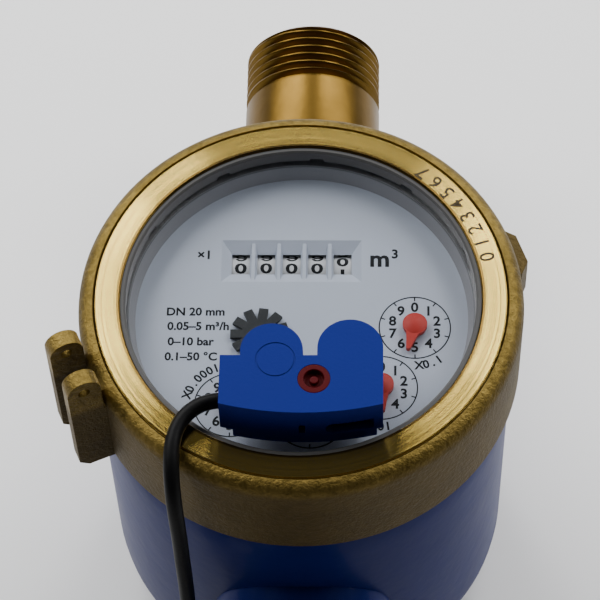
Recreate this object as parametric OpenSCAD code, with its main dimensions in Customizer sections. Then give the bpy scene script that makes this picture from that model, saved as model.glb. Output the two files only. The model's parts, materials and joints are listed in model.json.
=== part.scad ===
// Multi-jet dry-dial water meter for a 20 mm pipe, with a pulse unit on its window.
// The hinged lid is not fitted. All sizes in millimetres.
// Origin at the centre of the foot, under the register axis. +Z is up.
// Water flows along +Y, and the dial is read from -Y.

/* [Body casting] */
// Length over the two pipe ends
body_length = 220; // [210:1:235]
// Outside diameter of the round body
body_d = 90.5; // [89:0.5:95]
// Height of the pipe axis above the foot
axis_h = 38; // [37:0.5:40]
// Outside diameter of the pipe thread
thread_d = 33.25; // [31:0.25:36]
// Length of the pipe thread
thread_l = 13.5; // [11:0.5:16]
// Diameter of the water way in the pipe ends
bore_d = 20; // [17:0.5:21]
// Thickness of the floor of the body
floor_t = 9; // [8:0.5:12]
// Wall of the round body beside the core
wall_t = 5.5; // [4.5:0.5:7]
// Diameter of the flat foot
foot_d = 60; // [52:1:68]
// Height of the seat that carries the separator plate
seat_h = 67; // [66:0.5:71]
// Wall of the neck that the head ring screws onto
neck_wall = 2.8; // [2.2:0.1:3.4]

/* [Measuring chamber] */
// Outside diameter of the measuring chamber
chamber_d = 61.6; // [58:0.2:63]
// Wall of the measuring chamber
chamber_wall = 2.5; // [2:0.1:3]
// Number of tangential ports in each row
jet_count = 10; // [8:1:12]
// Number of vanes on the impeller
vane_count = 8; // [6:1:10]
// Diameter over the impeller vanes
impeller_d = 49; // [44:0.5:51]

/* [Register] */
// Outside diameter of the register cup
register_d = 79; // [77:0.5:82]
// Height of the register cup
cup_h = 22; // [22:0.25:24]
// Thickness of the dial plate
dial_t = 1.5; // [1.2:0.1:1.8]
// Clear height between the dial and the window
dial_gap = 3.6; // [3.4:0.1:4]
// Diameter of the number rollers
roller_d = 10; // [9.8:0.1:10.2]
// Distance from one number roller to the next
roller_pitch = 5.5; // [5.4:0.1:5.8]
// Distance of the roller axis behind the register axis
row_y = 14.2; // [13.9:0.1:14.6]
// Diameter over the teeth of the flow indicator star
star_d = 12.4; // [10:0.2:12.8]
// Length of a pointer from its axis to its tip
pointer_l = 6.4; // [5.4:0.1:6.8]

/* [Window and head ring] */
// Thickness of the window
window_t = 1.6; // [1.3:0.1:2.2]
// Height of the head ring
ring_h = 24; // [20:0.5:26]
// Wall of the head ring outside its thread
ring_wall = 4.3; // [3.5:0.1:5]
// Thickness of the lip over the window
lip_t = 2.6; // [2:0.1:3.5]
// Direction of the lid hinge, seen from above
hinge_angle = 204; // [180:1:220]
// Direction of the latch lug, seen from above
latch_angle = 20; // [0:1:40]
// Thickness of one hinge ear
ear_t = 3.5; // [2.5:0.1:4.5]
// Clear width between the two hinge ears
ear_gap = 6.7; // [5:0.1:9]
// Diameter of the hinge pin holes
hinge_d = 2.6; // [1.6:0.1:3.2]

/* [Pulse unit] */
// Width of the pulse unit
pulse_w = 33.2; // [31:0.2:34]
// Height of the pulse unit above the window
pulse_h = 12.8; // [11.5:0.1:15]
// Wall of the pulse unit housing
pulse_wall = 1.5; // [1:0.1:1.8]
// Diameter of the sealing plug
plug_d = 6.7; // [5.8:0.1:7.2]

/* [Cable] */
// Diameter of the cable
cable_d = 3.3; // [2.8:0.1:3.4]

/* [Hidden] */
$fn = 64;
// Overlap of a cut past the face that it opens
cut = 1;

// Radii from the register outwards
fit = 0.3;
running = 0.05;
reg_r = register_d / 2;
neck_in_r = reg_r + fit;
neck_r = neck_in_r + neck_wall;
thread_gap = 0.1;
ring_in_r = neck_r + thread_gap;
ring_r = ring_in_r + ring_wall;
body_r = body_d / 2;
seat_w = 3.3;
cavity_r = neck_in_r - seat_w;
core_r = body_r - wall_t;
lip_r = reg_r - 1.4;
glaze_in_r = lip_r - 1.2;

// Heights from the foot to the head face
seal_t = 1;
separator_t = 4;
rim_h = 4.6;
glaze_t = 1.2;
sep_z = seat_h + seal_t;
cup_z = sep_z + separator_t;
rim_z = cup_z + cup_h;
window_z = rim_z + rim_h;
glaze_z = window_z + window_t;
lip_z = glaze_z + glaze_t;
head_z = lip_z + lip_t;
ring_z = head_z - ring_h;
neck_top = rim_z - 1;
shoulder_z = ring_z - fit;

// Partition that parts the inlet side from the outlet side
part_half = 2;
part_z = axis_h - part_half;
part_top = axis_h + part_half;
chamber_r = chamber_d / 2;
part_r = chamber_r + fit;

// Pipe ends
thread_r = thread_d / 2;
bore_r = bore_d / 2;
half_l = body_length / 2;
collar_l = 20;
relief_l = 2.5;
collar_y = half_l - thread_l - relief_l - collar_l;
neck_pipe_r = thread_r - 0.6;
collar_r = thread_r;
flare = 3;

// Measuring chamber and impeller
gasket_t = 1;
flange_z = part_top + gasket_t;
flange_t = 2.5;
chamber_z = floor_t + 1;
chamber_floor = 2;
cover_t = 2.5;
chamber_top = seat_h - cover_t - 0.2;
jet_h = 7;
jet_w = 4;
jet_slant = 55;
jet_low_z = floor_t + 8;
jet_high_z = flange_z + flange_t + 4;
pin_r = 1.25;
boss_top = chamber_z + chamber_floor + 4.8;
imp_z = boss_top + 1.2;
bush_r = 2.5;
bush_z = imp_z + 0.2;
bush_l = 7.6;
bush_cap = 1.1;
pin_top = bush_z + bush_l - bush_cap - 0.1;
hub_r = 5;
stem_r = 3;
imp_top = chamber_top - 7;
vane_t = 1.2;
magnet_r = 6.5;
magnet_z = seat_h;
magnet_h = 3.2;
pocket_r = 9;
pocket_top = magnet_z + magnet_h + 0.6;

// Register inside: plates and gear levels
cup_wall = 1.6;
cup_floor = 1.5;
cup_floor_z = cup_z + cup_floor;
dial_z = window_z - dial_gap;
dial_low = dial_z - dial_t;
plate_t = 1.2;
plate_z = cup_z + 8;
plate_top = plate_z + plate_t;
dial_boss_h = 1.3;
upper_top = dial_low - dial_boss_h;
upper_z = upper_top - plate_t;
gear_w = 1.5;
gear_lift = 0.75;
level_h = (upper_z - plate_top - gear_lift) / 4;
function level(i) = plate_top + gear_lift + i * level_h;
pivot_r = 0.6;
shaft_r = 0.75;
post_ring_r = 33;
post_r = 2;
cup_post_r = 2.5;
cup_post_at = [90, 210, 330];
pillar_at = [20, 115, 180, -65];
dial_boss_at = [30, 150, -65];
dial_boss_ring = 31;
dial_r = reg_r - cup_wall - 0.6;
rim_open_r = reg_r - 4.1;

// Gear trains: tooth counts and modules
tooth_add = 0.8;
tooth_ded = 1.1;
tooth_slack = 0.12;
root_narrow = 0.9;
pinion_n = 8;
wheel_n = 20;
big_n = 32;
star_m = 0.5;
first_m = 0.67;
wheel_m = 0.6;
big_m = 0.43;
chain_m = 0.53;
chain_n = 16;
idle_n = 15;
carry_m = 0.45;
worm_wheel_n = 10;
worm_wheel_m = 0.8;
function pair(m, a, b) = m * (a + b) / 2;
function tip(m, n) = m * (n / 2 + tooth_add);
function polar(r, a) = [r * cos(a), r * sin(a)];
// Point at distance rp from p and rq from q, left of p to q for side 1
function third(p, rp, q, rq, side) =
  let (d = norm(q - p), x = (rp * rp - rq * rq + d * d) / (2 * d),
    h = sqrt(max(0, rp * rp - x * x)), u = (q - p) / d)
  p + x * u + side * h * [-u[1], u[0]];
// Turn of gear b that meshes with gear a standing at turn fa
function mesh(pa, na, fa, pb, nb) =
  let (th = atan2(pb[1] - pa[1], pb[0] - pa[0]))
  th + 180 - (na / nb) * (fa - th) + 180 / nb;

// Arbors on the dial
star_at = polar(pair(star_m, pinion_n, big_n), 208.3);
pointer_at = [polar(25.9, -124), polar(24.2, -84.8), polar(24.2, -45.4), polar(24.2, -6)];
pointer_turn = [-30, 40, -87, -104];
first_at = third(star_at, pair(first_m, pinion_n, wheel_n),
  pointer_at[0], pair(wheel_m, pinion_n, wheel_n), -1);
step_at = [for (i = [0:2]) third(pointer_at[i], pair(wheel_m, pinion_n, wheel_n),
  pointer_at[i + 1], pair(big_m, pinion_n, big_n), 1)];
// Level of the wheel on each pointer arbor, and of the pinion that drives the next step gear
wheel_level = [2, 1, 3, 2];
step_level = [3, 2, 1];

// Number rollers
roller_r = roller_d / 2;
roller_z = dial_low - fit - roller_r;
drum_w = 4;
side_w = 0.65;
units_x = 8.6;
shaft_rod_r = 1;
carry_rod_r = 0.7;
row_at = [row_y, roller_z];
carry_at = [row_y + pair(carry_m, wheel_n, pinion_n), roller_z];
lock_r = 4.3;
function roller_x(k) = units_x - (k - 1) * roller_pitch;
roller_gear_turn = 180 / wheel_n;
worm_r = 1.65;
worm_throw = 0.6;
worm_gap = 0.11;
worm_x = units_x + 4.8;
worm_lead = PI * worm_wheel_m;
worm_l = 2 * worm_lead;
worm_at = [worm_x, row_y - tip(worm_wheel_m, worm_wheel_n) - worm_r + worm_throw - worm_gap];
idle_at = third(pointer_at[3], pair(chain_m, chain_n, idle_n),
  worm_at, pair(chain_m, idle_n, chain_n), -1);
wheel_x = worm_x - 0.8;
cheek_t = 1.2;
cheek_left = roller_x(5) - drum_w / 2 - fit - cheek_t;
cheek_right = worm_x + 2;

// Hands and star over the dial
pointer_z = dial_z + 0.7;
pointer_t = 1.1;
arbor_top = pointer_z + pointer_t + 0.3;
pointer_hub = 2.6;
star_z = dial_z + 0.4;
star_t = 0.8;
star_n = 11;

// Lid hinge on the head ring
ear_r = 3.6;
ear_u = ring_r + ear_r;
ear_z = head_z + 5;

// Pulse unit outline
pulse_x = 0.7;
pulse_z = glaze_z;
pulse_base_h = 3;
pulse_top = pulse_z + pulse_h;
pulse_front = -(glaze_in_r - 3.5);
pulse_front_r = 66;
shelf_y = -20;
lobe_left = [-5.4, -18.9];
lobe_left_r = 6.4;
lobe_right = [10.6, -18.2];
lobe_right_r = 6.7;
base_inset = 0.2;
base_left = 2.5;
base_right = 1.2;
screw_at = [3.3, -25.5];
plug_r = plug_d / 2;
plug_h = 3;
sleeve_r = plug_r + 1.3;
boss_r = 3.2;
boss_h = 5.8;
screw_r = 1.15;
screw_head_r = 2.6;
screw_head_h = 1.8;
screw_floor = pulse_z + boss_h + 1.7;
reed_at = [-7.4, -24.2];
reed_l = 10;
reed_r = 1.2;
cable_y = -27;
cable_z = pulse_z + 6.3;
pulse_left = pulse_x - pulse_w / 2;

// Cable: hand-chosen points from the housing wall to the coil on the ground
cable_r = cable_d / 2;
coil_at = [-46, -86];
coil_r = 18.5;
coil_half = 5;
cable_route = [[-14.4, -27, 106.5], [-17.2, -27.2, 106.6], [-20.2, -28.3, 106.7], [-22.9, -30.6, 106.6],
  [-24.6, -33.8, 106.4], [-25.3, -37.4, 106], [-25.4, -41.2, 104.7], [-25.2, -44.6, 102],
  [-24.9, -47, 98], [-24.6, -48.4, 93], [-24.4, -49.2, 86], [-24.3, -49.8, 78], [-24.2, -50.2, 70],
  [-24.2, -50.5, 62], [-24.3, -50.8, 54], [-24.4, -51.1, 46], [-24.5, -51.5, 38], [-24.6, -52.1, 30],
  [-24.5, -53.2, 23], [-24.2, -55.2, 16.5], [-23.7, -58.2, 10.8], [-23, -62.2, 6.2],
  [-22.4, -67, 3.2], [-22, -72.5, 1.8], [-22.2, -78, 1.7], [-23.4, -82, 1.7], [-25, -85, 1.7]];

module spur(n, m, w, turn) {
  rp = n * m / 2;
  rb = rp * cos(20);
  ra = rp + tooth_add * m;
  rf = rp - tooth_ded * m;
  r_low = max(rb, rf);
  r_mid = (r_low + ra) / 2;
  function lean(r) = let (a = acos(min(1, rb / r))) tan(a) * 180 / PI - a;
  half = 90 / n - tooth_slack / 2 / rp * 180 / PI + lean(rp);
  side = [[rf, half * root_narrow], [r_low, half - lean(r_low)],
    [r_mid, half - lean(r_mid)], [ra, half - lean(ra)]];
  linear_extrude(w) polygon([for (i = [0:n - 1]) each concat(
    [for (s = [0:3]) polar(side[s][0], turn + i * 360 / n - side[s][1])],
    [for (s = [3:-1:0]) polar(side[s][0], turn + i * 360 / n + side[s][1])])]);
}

// Ring of square section between two radii
module band(r_in, r_out, z, h) {
  translate([0, 0, z]) difference() {
    cylinder(r = r_out, h = h);
    translate([0, 0, -cut]) cylinder(r = r_in, h = h + 2 * cut);
  }
}

module rod(at, r, z0, z1) {
  translate([at[0], at[1], z0]) cylinder(r = r, h = z1 - z0);
}

// Bar along X, at a point of the YZ plane
module cross_bar(at, r, x0, x1) {
  translate([x0, at[0], at[1]]) rotate([0, 90, 0]) cylinder(r = r, h = x1 - x0);
}

// Stands a flat gear in the YZ plane
module across(x, at) {
  translate([x, at[0], at[1]]) rotate([90, 0, 90]) children();
}

// Round bar in the YZ plane from point p to point q
module slant_bar(p, q, r) {
  v = q - p;
  translate([0, p[0], p[1]]) rotate([atan2(-v[0], v[1]), 0, 0]) cylinder(r = r, h = norm(v));
}

// Foot to shoulder as one smooth bowl
bowl_h = 16;
bowl_steps = 8;
bowl = [for (i = [0:bowl_steps]) let (a = 90 * i / bowl_steps)
  [foot_d / 2 + (body_r - foot_d / 2) * sin(a), bowl_h * (1 - cos(a))]];

module pipe_end_outer() {
  rotate([-90, 0, 0]) rotate_extrude() polygon([[0, cavity_r + 1], [collar_r + flare, cavity_r + 1],
    [collar_r + flare, body_r - 1], [collar_r + flare / 2, body_r + 4], [neck_pipe_r, body_r + 11],
    [neck_pipe_r, collar_y - 2], [collar_r, collar_y], [collar_r, collar_y + collar_l],
    [thread_r - 1.3, collar_y + collar_l + 0.5], [thread_r - 1.3, half_l - thread_l - 0.8],
    [thread_r, half_l - thread_l], [thread_r, half_l - 1], [thread_r - 1, half_l], [0, half_l]]);
}

module water_way(side, rise) {
  turn = [side * (cavity_r + 20), axis_h];
  mouth = [side * (cavity_r - 6), axis_h + rise];
  slant_bar(turn, mouth, bore_r - 1);
  translate([0, turn[0], turn[1]]) sphere(r = bore_r);
  slant_bar(turn, [side * (half_l + cut), axis_h], bore_r);
}

// Upper edge of the round body, drawn in a little under the ring
body_shoulder = [for (p = [[0, 10], [0.3, 6.5], [0.8, 3], [1.4, 0.8], [2.2, 0]])
  [body_r - p[0], shoulder_z - p[1]]];
module body_casting() color("royalblue") {
  difference() {
    union() {
      rotate_extrude() polygon(concat([[0, 0]], bowl, body_shoulder, [[neck_r, shoulder_z],
        [neck_r, neck_top - 0.8],
        [neck_r - 0.8, neck_top], [0, neck_top]]));
      translate([0, 0, axis_h]) pipe_end_outer();
      translate([0, 0, axis_h]) rotate([0, 0, 180]) pipe_end_outer();
    }
    rotate_extrude() polygon([[0, floor_t], [core_r - 5, floor_t], [core_r, floor_t + 5],
      [core_r, part_z], [part_r, part_z], [part_r, part_top], [core_r, part_top],
      [core_r, seat_h - 8], [cavity_r, seat_h - 4], [cavity_r, seat_h],
      [neck_in_r, seat_h], [neck_in_r, neck_top + cut], [0, neck_top + cut]]);
    water_way(-1, -12);
    water_way(1, 13);
  }
}

strainer_l = 25;
strainer_r = bore_r - 0.2;
strainer_wall = 1;
slot_count = 8;
module inlet_strainer() color("whitesmoke")
  translate([0, -half_l + 0.5, axis_h]) rotate([-90, 0, 0]) difference() {
    cylinder(r = strainer_r, h = strainer_l);
    translate([0, 0, -cut]) cylinder(r = strainer_r - strainer_wall, h = strainer_l - strainer_wall + cut);
    for (i = [0:slot_count - 1]) rotate(i * 360 / slot_count)
      translate([strainer_r - 2, -1.2, 5]) cube([4, 2.4, strainer_l - 9]);
    for (i = [0:5]) rotate(i * 60) translate([strainer_r * 0.55, 0, strainer_l - 3]) cylinder(r = 1.4, h = 5);
    translate([0, 0, strainer_l - 3]) cylinder(r = 1.4, h = 5);
  }

module chamber_gasket() color("dimgray")
  band(part_r + 0.4, cavity_r - 1.5, part_top, gasket_t);

module jet_row(z, slant) {
  for (i = [0:jet_count - 1]) rotate(i * 360 / jet_count)
    translate([chamber_r - chamber_wall / 2, 0, z]) rotate(slant)
      translate([-6, -jet_w / 2, 0]) cube([12, jet_w, jet_h]);
}

module measuring_chamber() color("gainsboro") difference() {
  union() {
    rod([0, 0], chamber_r, chamber_z, chamber_top);
    rod([0, 0], cavity_r - 1.5, flange_z, flange_z + flange_t);
  }
  difference() {
    rod([0, 0], chamber_r - chamber_wall, chamber_z + chamber_floor, chamber_top + cut);
    rod([0, 0], 4, chamber_z, boss_top);
  }
  rod([0, 0], pin_r, chamber_z + chamber_floor, boss_top + cut);
  jet_row(jet_low_z, jet_slant);
  jet_row(jet_high_z, -jet_slant);
}

rib_count = 6;
rib_h = 3;
module chamber_cover() color("gainsboro") difference() {
  union() {
    rod([0, 0], chamber_r, chamber_top, chamber_top + cover_t);
    rod([0, 0], chamber_r - chamber_wall - 0.1, chamber_top - 1.2, chamber_top);
    rod([0, 0], hub_r + 1, chamber_top - rib_h, chamber_top);
    for (i = [0:rib_count - 1]) rotate(i * 360 / rib_count)
      translate([hub_r, -0.6, chamber_top - rib_h]) cube([chamber_r - chamber_wall - hub_r - 2, 1.2, rib_h]);
  }
  rod([0, 0], stem_r + running, chamber_top - rib_h - cut, chamber_top + cover_t + cut);
}

module pivot_pin() color("silver") {
  rod([0, 0], pin_r, chamber_z + chamber_floor, pin_top - 0.8);
  translate([0, 0, pin_top - 0.8]) cylinder(r1 = pin_r, r2 = 0.3, h = 0.8);
}

module impeller() color("white") difference() {
  union() {
    rod([0, 0], hub_r, imp_z, imp_top);
    rod([0, 0], stem_r, imp_top, magnet_z + magnet_h);
    for (i = [0:vane_count - 1]) rotate(i * 360 / vane_count)
      translate([hub_r - 1, -vane_t / 2, imp_z + 1])
        cube([impeller_d / 2 - hub_r + 1, vane_t, imp_top - imp_z - 2]);
  }
  rod([0, 0], bush_r, imp_z - cut, bush_z + bush_l);
}

module impeller_bush() color("slategray") difference() {
  rod([0, 0], bush_r, bush_z, bush_z + bush_l);
  rod([0, 0], pin_r + running, bush_z - cut, bush_z + bush_l - bush_cap);
}

module drive_magnet() color("#3a3a3a") band(stem_r, magnet_r, magnet_z + 0.2, magnet_h - 0.2);

module separator_seal() color("#222222") band(cavity_r + 0.3, reg_r, seat_h, seal_t);

module separator_plate() color("goldenrod") difference() {
  rod([0, 0], reg_r, sep_z, sep_z + separator_t);
  rod([0, 0], pocket_r, sep_z - cut, pocket_top);
}

module register_cup() color("lightgray") difference() {
  union() {
    difference() {
      rod([0, 0], reg_r, cup_z, rim_z);
      rod([0, 0], reg_r - cup_wall, cup_floor_z, rim_z + cut);
    }
    for (a = cup_post_at) rod(polar(post_ring_r, a), cup_post_r, cup_floor_z - 0.5, plate_z);
    rod([0, 0], 2.2, cup_floor_z - 0.5, cup_floor_z + 1.1);
  }
  rod([0, 0], pivot_r + running, cup_floor_z + 0.4, cup_floor_z + 1.1 + cut);
}

carrier_z = cup_floor_z + 1.5;
carrier_r = 6.8;
carrier_top = carrier_z + 4.3;
module driven_magnet() color("#3a3a3a") band(stem_r, carrier_r, carrier_z + 1, 3);

module magnet_pinion() color("ivory") {
  rod([0, 0], pivot_r, cup_floor_z + 0.5, carrier_z);
  rod([0, 0], carrier_r, carrier_z, carrier_z + 1);
  rod([0, 0], stem_r, carrier_z + 1, carrier_top);
  rod([0, 0], shaft_r, carrier_top, upper_top - 0.3);
  translate([0, 0, level(0)]) spur(pinion_n, star_m, gear_w, 0);
}

// Places where an arbor stands in the lower plate
lower_pivots = concat([star_at, first_at, worm_at, idle_at], pointer_at, step_at);

module lower_gear_plate() color("ivory") difference() {
  rod([0, 0], reg_r - cup_wall - fit, plate_z, plate_top);
  for (p = lower_pivots) rod(p, pivot_r + running, plate_z - cut, plate_top + cut);
  rod([0, 0], shaft_r + running, plate_z - cut, plate_top + cut);
}

module plate_pillars() color("goldenrod")
  for (a = pillar_at) rod(polar(post_ring_r, a), post_r, plate_top, upper_z);

module upper_gear_plate() color("ivory") difference() {
  union() {
    rod([0, 0], reg_r - cup_wall - 1, upper_z, upper_top);
    for (a = dial_boss_at) rod(polar(dial_boss_ring, a), post_r, upper_top - 0.5, dial_low);
  }
  translate([cheek_left - fit, row_y - roller_r + 0.55, upper_z - cut])
    cube([cheek_right + cheek_t - cheek_left + 2 * fit, 2 * roller_r + 3, plate_t + 2 * cut]);
  for (p = concat([[0, 0]], lower_pivots)) rod(p, shaft_r + running, upper_z - cut, upper_top + cut);
}

// Arbor with its lower pivot in the plate
module arbor(at, top) {
  rod(at, pivot_r, plate_z + 0.1, plate_top + 0.2);
  rod(at, shaft_r, plate_top + 0.2, top);
}

module toothed(at, n, m, i, turn) {
  translate([at[0], at[1], level(i)]) spur(n, m, gear_w, turn);
}

module star_arbor() color("ivory") {
  arbor(star_at, star_z + star_t);
  toothed(star_at, big_n, star_m, 0, mesh([0, 0], pinion_n, 0, star_at, big_n));
  toothed(star_at, pinion_n, first_m, 1, 0);
}

star_bar_w = 2;
module star_wheel() color("#303335") translate([star_at[0], star_at[1], star_z]) difference() {
  linear_extrude(star_t) {
    circle(r = star_d / 2 * 0.6);
    for (i = [0:star_n - 1]) rotate(17 + i * 360 / star_n)
      translate([0, -star_bar_w / 2]) square([star_d / 2, star_bar_w]);
  }
  translate([0, 0, -cut]) cylinder(r = shaft_r, h = star_t + 2 * cut);
}

module first_gear() color("ivory") {
  arbor(first_at, upper_top - 0.3);
  toothed(first_at, wheel_n, first_m, 1, mesh(star_at, pinion_n, 0, first_at, wheel_n));
  toothed(first_at, pinion_n, wheel_m, wheel_level[0], 0);
}

module pointer_arbor(k) color("ivory") {
  at = pointer_at[k - 1];
  arbor(at, arbor_top);
  if (k == 1) toothed(at, wheel_n, wheel_m, wheel_level[0], mesh(first_at, pinion_n, 0, at, wheel_n));
  if (k > 1) toothed(at, big_n, big_m, wheel_level[k - 1], mesh(step_at[k - 2], pinion_n, 0, at, big_n));
  if (k < 4) toothed(at, pinion_n, wheel_m, step_level[k - 1], 0);
  if (k == 4) toothed(at, chain_n, chain_m, 0, 0);
}

module step_gear(k) color("ivory") {
  at = step_at[k - 1];
  arbor(at, upper_top - 0.3);
  toothed(at, wheel_n, wheel_m, step_level[k - 1], mesh(pointer_at[k - 1], pinion_n, 0, at, wheel_n));
  toothed(at, pinion_n, big_m, wheel_level[k], 0);
}

pointer_tail = 0.5;
module pointer(k) color("crimson")
  translate(concat(pointer_at[k - 1], pointer_z)) rotate(pointer_turn[k - 1]) difference() {
    union() {
      linear_extrude(pointer_t) {
        circle(r = pointer_hub);
        polygon([[0.6, pointer_hub - 0.2], [pointer_hub - 0.2, 1.3], [pointer_l * 0.66, 0.85],
          [pointer_l - pointer_tail, pointer_tail], [pointer_l - pointer_tail, -pointer_tail],
          [pointer_l * 0.66, -0.85], [pointer_hub - 0.2, -1.3], [0.6, -pointer_hub + 0.2]]);
        translate([pointer_l - pointer_tail, 0]) circle(r = pointer_tail);
      }
      cylinder(r = shaft_r + 0.6, h = arbor_top - pointer_z);
    }
    translate([0, 0, -cut]) cylinder(r = shaft_r, h = 5);
  }

module pulse_magnet() color("#3a3a3a") rod(pointer_at[0], 1.1, arbor_top, arbor_top + 0.6);

module counter_idler() color("ivory") {
  arbor(idle_at, upper_top - 0.3);
  toothed(idle_at, idle_n, chain_m, 0, mesh(pointer_at[3], chain_n, 0, idle_at, idle_n));
}

module counter_worm() color("ivory") {
  arbor(worm_at, upper_top - 0.3);
  turn = mesh(pointer_at[3], chain_n, 0, idle_at, idle_n);
  toothed(worm_at, chain_n, chain_m, 0, mesh(idle_at, idle_n, turn, worm_at, chain_n));
  translate([worm_at[0], worm_at[1], roller_z - worm_l / 2]) rotate(-90)
    linear_extrude(worm_l, twist = -360 * worm_l / worm_lead, slices = 28)
      translate([worm_throw, 0]) circle(r = worm_r, $fn = 16);
}

module cheek(x) {
  translate([x, 0, 0]) rotate([90, 0, 90]) linear_extrude(cheek_t) polygon([
    [row_y, plate_top], [carry_at[0] + 2, plate_top], [carry_at[0] + 2, roller_z + 2.2],
    [row_y - 3, roller_z + 2.2], [row_y - 3, roller_z - 2], [row_y, roller_z - 4]]);
}

module counter_frame() color("silver") difference() {
  union() {
    cheek(cheek_left);
    cheek(cheek_right);
    translate([cheek_left, row_y + 2, plate_top])
      cube([cheek_right + cheek_t - cheek_left, carry_at[0] - row_y, 0.8]);
  }
  cross_bar(row_at, shaft_rod_r, cheek_left - cut, cheek_right + cheek_t + cut);
  cross_bar(carry_at, carry_rod_r, cheek_left - cut, cheek_right + cheek_t + cut);
}

module roller_shaft() color("silver")
  cross_bar(row_at, shaft_rod_r, cheek_left, cheek_right + cheek_t);

module carry_shaft() color("silver")
  cross_bar(carry_at, carry_rod_r, cheek_left, cheek_right + cheek_t);

// Two teeth that carry the next roller by one digit
module carry_teeth(x) {
  intersection() {
    across(x, row_at) spur(wheel_n, carry_m, side_w, roller_gear_turn);
    translate([x, row_y - 0.8, roller_z - roller_r]) cube([side_w, 1.6, roller_r]);
  }
}

module roller(k) color("white") {
  x = roller_x(k);
  difference() {
    union() {
      cross_bar(row_at, roller_r, x - drum_w / 2, x + drum_w / 2);
      if (k > 1) across(x + drum_w / 2, row_at) spur(wheel_n, carry_m, side_w, roller_gear_turn);
      if (k == 1) cross_bar(row_at, 2, x + drum_w / 2, wheel_x + gear_w);
      if (k == 1) across(wheel_x, row_at) spur(worm_wheel_n, worm_wheel_m, gear_w, 0);
      if (k < 5) cross_bar(row_at, lock_r, x - drum_w / 2 - side_w, x - drum_w / 2);
      if (k < 5) carry_teeth(x - drum_w / 2 - side_w);
    }
    cross_bar(row_at, shaft_rod_r + running, x - 10, x + 10);
  }
}

// Eight teeth beside the higher roller, every second one beside the lower roller
module carry_pinion(k) color("ivory") {
  gap = 0.1;
  x0 = roller_x(k + 1) + drum_w / 2 + gap;
  x1 = roller_x(k) - drum_w / 2 - gap;
  mid = (x0 + x1) / 2;
  turn = mesh(row_at, wheel_n, roller_gear_turn, carry_at, pinion_n);
  difference() {
    union() {
      across(x0, carry_at) spur(pinion_n, carry_m, mid - x0, turn);
      difference() {
        across(mid, carry_at) spur(pinion_n, carry_m, x1 - mid, turn);
        for (i = [0:3]) across(mid, carry_at) rotate(180 + i * 90)
          translate([1.35, -0.6, -cut]) cube([2, 1.2, x1 - mid + 2 * cut]);
      }
    }
    cross_bar(carry_at, carry_rod_r + running, x0 - cut, x1 + cut);
  }
}

// One sloped opening over each roller
slot_w = 3.9;
slot_l = 5;
slope_w = 0.6;
slope_l = 3;
module counter_opening(x) {
  intersection() {
    translate([0, row_y + slot_l + slope_l, 0]) rotate([90, 0, 0]) linear_extrude(2 * (slot_l + slope_l))
      polygon([[x - slot_w / 2, dial_low - cut], [x + slot_w / 2, dial_low - cut], [x + slot_w / 2, dial_low],
        [x + slot_w / 2 + slope_w, dial_z + 0.1], [x - slot_w / 2 - slope_w, dial_z + 0.1],
        [x - slot_w / 2, dial_low]]);
    translate([x - slot_w, 0, 0]) rotate([90, 0, 90]) linear_extrude(2 * slot_w)
      polygon([[row_y - slot_l / 2, dial_low - cut], [row_y + slot_l / 2, dial_low - cut],
        [row_y + slot_l / 2, dial_low], [row_y + slot_l / 2 + slope_l, dial_z + 0.1],
        [row_y - slot_l / 2 - slope_l, dial_z + 0.1], [row_y - slot_l / 2, dial_low]]);
  }
}

module dial_plate() color("white") difference() {
  rod([0, 0], dial_r, dial_low, dial_z);
  for (k = [1:5]) counter_opening(roller_x(k));
  for (p = concat([star_at], pointer_at)) rod(p, shaft_r + 0.4, dial_low - cut, dial_z + cut);
}

module register_rim() color("#6a6c70") rotate_extrude() polygon([[dial_r + 0.2, rim_z],
  [reg_r, rim_z], [reg_r, window_z], [rim_open_r + 1.3, window_z], [rim_open_r, dial_z],
  [dial_r + 0.2, dial_z]]);

module window() color("lightcyan", 0.4) difference() {
  union() {
    rod([0, 0], reg_r, window_z, glaze_z);
    rod(screw_at, boss_r, glaze_z - 0.5, glaze_z + boss_h);
  }
  rod(screw_at, screw_r, glaze_z + 0.8, glaze_z + boss_h + cut);
}

notch_count = 11;
notch_w = 3;
module glazing_ring() color("#55575a") difference() {
  rotate_extrude() polygon([[glaze_in_r, glaze_z], [reg_r, glaze_z], [reg_r, lip_z],
    [lip_r - 0.1, lip_z], [lip_r - 0.1, head_z - 0.6], [glaze_in_r + 0.4, head_z - 0.6],
    [glaze_in_r, head_z - 1]]);
  for (i = [0:notch_count - 1]) rotate(20 + i * 360 / notch_count)
    translate([glaze_in_r - 1, -notch_w / 2, glaze_z - cut]) cube([1.5, notch_w, 0.9 + cut]);
}

// Section of the ring: flat face, fine groove, rounded shoulder, plain skirt
face_r = ring_r - 3.5;
groove = 0.3;
groove_depth = 0.8;
shoulder_h = 3.4;
shoulder_steps = 6;
ring_shoulder = [for (i = [0:shoulder_steps]) let (a = 90 * i / shoulder_steps)
  [face_r + groove + (ring_r - face_r - groove) * sin(a), head_z - shoulder_h * (1 - cos(a))]];

module ear(side) {
  t0 = side * (ear_gap + ear_t) / 2 + ear_t / 2;
  translate([0, t0, 0]) rotate([90, 0, 0]) linear_extrude(ear_t) {
    polygon([[ring_r - 1.5, ring_z], [ear_u + ear_r - 2, ring_z], [ear_u + ear_r, ring_z + 2],
      [ear_u + ear_r, ear_z], [ear_u - ear_r, ear_z], [ear_u - ear_r, head_z - shoulder_h],
      [ring_r - 1.5, head_z - shoulder_h]]);
    translate([ear_u, ear_z]) circle(r = ear_r);
  }
}

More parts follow.
